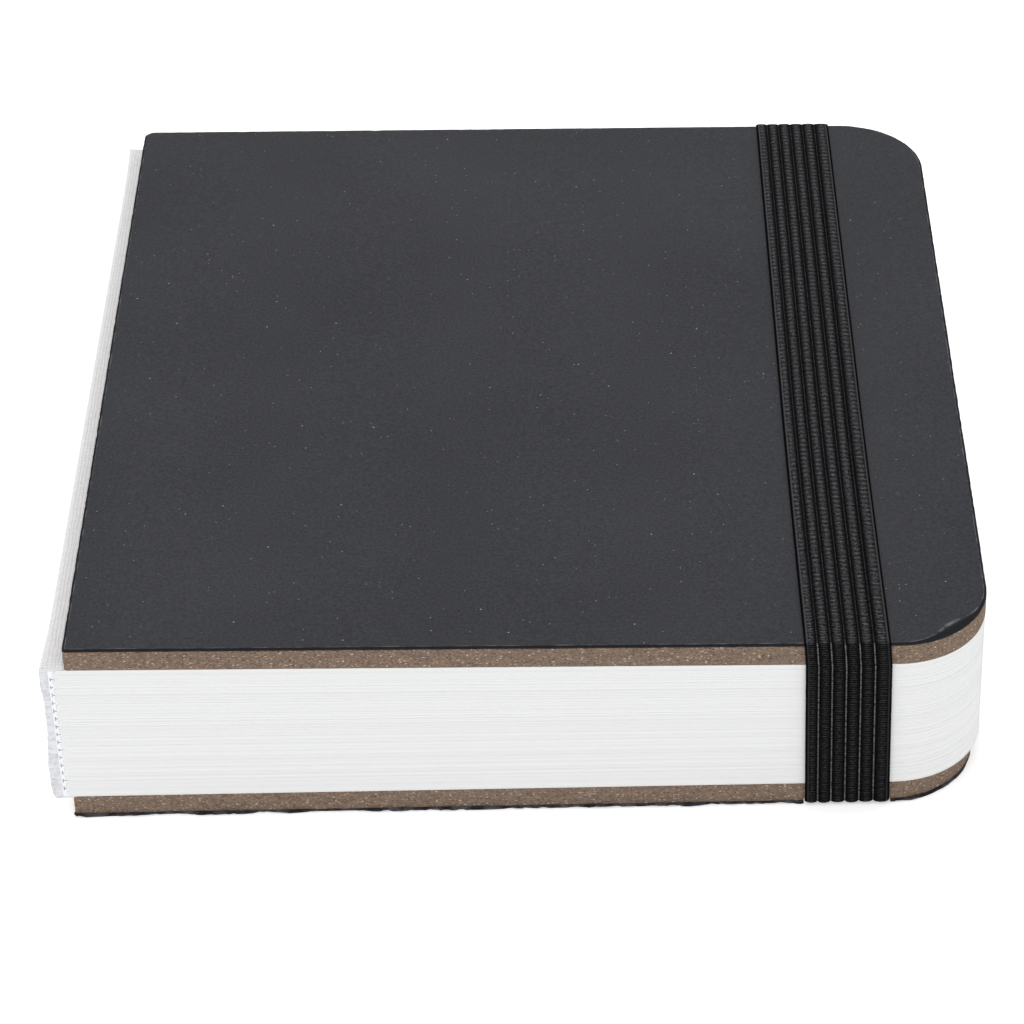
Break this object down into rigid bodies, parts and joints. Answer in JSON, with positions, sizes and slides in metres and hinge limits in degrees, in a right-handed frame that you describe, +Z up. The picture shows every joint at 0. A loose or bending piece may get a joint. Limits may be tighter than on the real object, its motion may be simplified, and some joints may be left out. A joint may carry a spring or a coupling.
{
  "type": "sketchbook",
  "caption": "Small hardback sketchbook with sewn sections, a white cloth spine, rounded fore-edge corners and a flat elastic closure; it opens and its pages fan.",
  "frame": {"origin": "middle of the book's box, on the surface that it lies on", "axes": "+X from the spine to the fore-edge, +Y from the near end to the far end, +Z up from the rear cover to the front cover"},
  "size_m": [0.0996, 0.1062, 0.0228],
  "materials": {
    "cover_paper": "matt charcoal laminated cover paper with small light flecks",
    "grey_board": "flush-cut brown-grey binder's board, fibrous edge",
    "end_paper": "smooth white end paper",
    "spine_cloth": "fine plain-weave white book cloth",
    "mull_and_glue": "open-weave mull set in dried white glue",
    "page_paper": "uncoated white drawing paper",
    "thread": "waxed white sewing thread",
    "elastic": "black ribbed woven elastic"
  },
  "bodies": {
    "rear_cover": {"rear_cover_paper": "cover_paper", "rear_board": "grey_board", "rear_pastedown": "end_paper", "spine_cloth_rear_flap": "spine_cloth", "spine_cloth": "spine_cloth", "spine_mull": "mull_and_glue", "elastic_end_near": "elastic", "elastic_end_far": "elastic"},
    "pages_16": {"section_16": "page_paper", "sewing_thread_16": "thread"},
    "pages_15": {"section_15": "page_paper", "sewing_thread_15": "thread"},
    "pages_14": {"section_14": "page_paper", "sewing_thread_14": "thread"},
    "pages_13": {"section_13": "page_paper", "sewing_thread_13": "thread"},
    "pages_12": {"section_12": "page_paper", "sewing_thread_12": "thread"},
    "pages_11": {"section_11": "page_paper", "sewing_thread_11": "thread"},
    "pages_10": {"section_10": "page_paper", "sewing_thread_10": "thread"},
    "pages_09": {"section_09": "page_paper", "sewing_thread_09": "thread"},
    "pages_08": {"section_08": "page_paper", "sewing_thread_08": "thread"},
    "pages_07": {"section_07": "page_paper", "sewing_thread_07": "thread"},
    "pages_06": {"section_06": "page_paper", "sewing_thread_06": "thread"},
    "pages_05": {"section_05": "page_paper", "sewing_thread_05": "thread"},
    "pages_04": {"section_04": "page_paper", "sewing_thread_04": "thread"},
    "pages_03": {"section_03": "page_paper", "sewing_thread_03": "thread"},
    "pages_02": {"section_02": "page_paper", "sewing_thread_02": "thread"},
    "pages_01": {"section_01": "page_paper", "sewing_thread_01": "thread"},
    "front_cover": {"front_cover_paper": "cover_paper", "front_board": "grey_board", "front_pastedown": "end_paper", "spine_cloth_front_flap": "spine_cloth"},
    "band_loop": {"elastic_band": "elastic"}
  },
  "joints": [
    {"name": "pages_16_hinge", "type": "hinge", "parent": "rear_cover", "child": "pages_16", "pos_m": [-0.04985, 0, 0.0028], "axis": [0, -1, 0], "range_deg": [0, 4.04]},
    {"name": "pages_15_hinge", "type": "hinge", "parent": "pages_16", "child": "pages_15", "pos_m": [-0.04985, 0, 0.00387], "axis": [0, -1, 0], "range_deg": [0, 4.04]},
    {"name": "pages_14_hinge", "type": "hinge", "parent": "pages_15", "child": "pages_14", "pos_m": [-0.04985, 0, 0.00495], "axis": [0, -1, 0], "range_deg": [0, 4.04]},
    {"name": "pages_13_hinge", "type": "hinge", "parent": "pages_14", "child": "pages_13", "pos_m": [-0.04985, 0, 0.00602], "axis": [0, -1, 0], "range_deg": [0, 4.04]},
    {"name": "pages_12_hinge", "type": "hinge", "parent": "pages_13", "child": "pages_12", "pos_m": [-0.04985, 0, 0.0071], "axis": [0, -1, 0], "range_deg": [0, 4.04]},
    {"name": "pages_11_hinge", "type": "hinge", "parent": "pages_12", "child": "pages_11", "pos_m": [-0.04985, 0, 0.00817], "axis": [0, -1, 0], "range_deg": [0, 4.04]},
    {"name": "pages_10_hinge", "type": "hinge", "parent": "pages_11", "child": "pages_10", "pos_m": [-0.04985, 0, 0.00925], "axis": [0, -1, 0], "range_deg": [0, 4.04]},
    {"name": "pages_09_hinge", "type": "hinge", "parent": "pages_10", "child": "pages_09", "pos_m": [-0.04985, 0, 0.01033], "axis": [0, -1, 0], "range_deg": [0, 4.04]},
    {"name": "pages_08_hinge", "type": "hinge", "parent": "pages_09", "child": "pages_08", "pos_m": [-0.04985, 0, 0.0114], "axis": [0, -1, 0], "range_deg": [0, 4.04]},
    {"name": "pages_07_hinge", "type": "hinge", "parent": "pages_08", "child": "pages_07", "pos_m": [-0.04985, 0, 0.01247], "axis": [0, -1, 0], "range_deg": [0, 4.04]},
    {"name": "pages_06_hinge", "type": "hinge", "parent": "pages_07", "child": "pages_06", "pos_m": [-0.04985, 0, 0.01355], "axis": [0, -1, 0], "range_deg": [0, 4.04]},
    {"name": "pages_05_hinge", "type": "hinge", "parent": "pages_06", "child": "pages_05", "pos_m": [-0.04985, 0, 0.01463], "axis": [0, -1, 0], "range_deg": [0, 4.04]},
    {"name": "pages_04_hinge", "type": "hinge", "parent": "pages_05", "child": "pages_04", "pos_m": [-0.04985, 0, 0.0157], "axis": [0, -1, 0], "range_deg": [0, 4.04]},
    {"name": "pages_03_hinge", "type": "hinge", "parent": "pages_04", "child": "pages_03", "pos_m": [-0.04985, 0, 0.01678], "axis": [0, -1, 0], "range_deg": [0, 4.04]},
    {"name": "pages_02_hinge", "type": "hinge", "parent": "pages_03", "child": "pages_02", "pos_m": [-0.04985, 0, 0.01785], "axis": [0, -1, 0], "range_deg": [0, 4.04]},
    {"name": "pages_01_hinge", "type": "hinge", "parent": "pages_02", "child": "pages_01", "pos_m": [-0.04985, 0, 0.01893], "axis": [0, -1, 0], "range_deg": [0, 4.04]},
    {"name": "front_cover_hinge", "type": "hinge", "parent": "pages_01", "child": "front_cover", "pos_m": [-0.04985, 0, 0.02], "axis": [0, -1, 0], "range_deg": [0, 124.3], "deforming": ["spine_cloth", "spine_mull"]},
    {"name": "band_release", "type": "hinge", "parent": "rear_cover", "child": "band_loop", "pos_m": [0.03875, 0, 0.0008], "axis": [0, 1, 0], "range_deg": [0, 91], "deforming": ["elastic_band"]}
  ],
  "couplings": [
    {"joint": "pages_16_hinge", "follows": "front_cover_hinge", "ratio": 0.03218},
    {"joint": "pages_15_hinge", "follows": "front_cover_hinge", "ratio": 0.03218},
    {"joint": "pages_14_hinge", "follows": "front_cover_hinge", "ratio": 0.03218},
    {"joint": "pages_13_hinge", "follows": "front_cover_hinge", "ratio": 0.03218},
    {"joint": "pages_12_hinge", "follows": "front_cover_hinge", "ratio": 0.03218},
    {"joint": "pages_11_hinge", "follows": "front_cover_hinge", "ratio": 0.03218},
    {"joint": "pages_10_hinge", "follows": "front_cover_hinge", "ratio": 0.03218},
    {"joint": "pages_09_hinge", "follows": "front_cover_hinge", "ratio": 0.03218},
    {"joint": "pages_08_hinge", "follows": "front_cover_hinge", "ratio": 0.03218},
    {"joint": "pages_07_hinge", "follows": "front_cover_hinge", "ratio": 0.03218},
    {"joint": "pages_06_hinge", "follows": "front_cover_hinge", "ratio": 0.03218},
    {"joint": "pages_05_hinge", "follows": "front_cover_hinge", "ratio": 0.03218},
    {"joint": "pages_04_hinge", "follows": "front_cover_hinge", "ratio": 0.03218},
    {"joint": "pages_03_hinge", "follows": "front_cover_hinge", "ratio": 0.03218},
    {"joint": "pages_02_hinge", "follows": "front_cover_hinge", "ratio": 0.03218},
    {"joint": "pages_01_hinge", "follows": "front_cover_hinge", "ratio": 0.03218},
    {"joint": "band_release", "follows": "front_cover_hinge", "ratio": 0.72406}
  ]
}
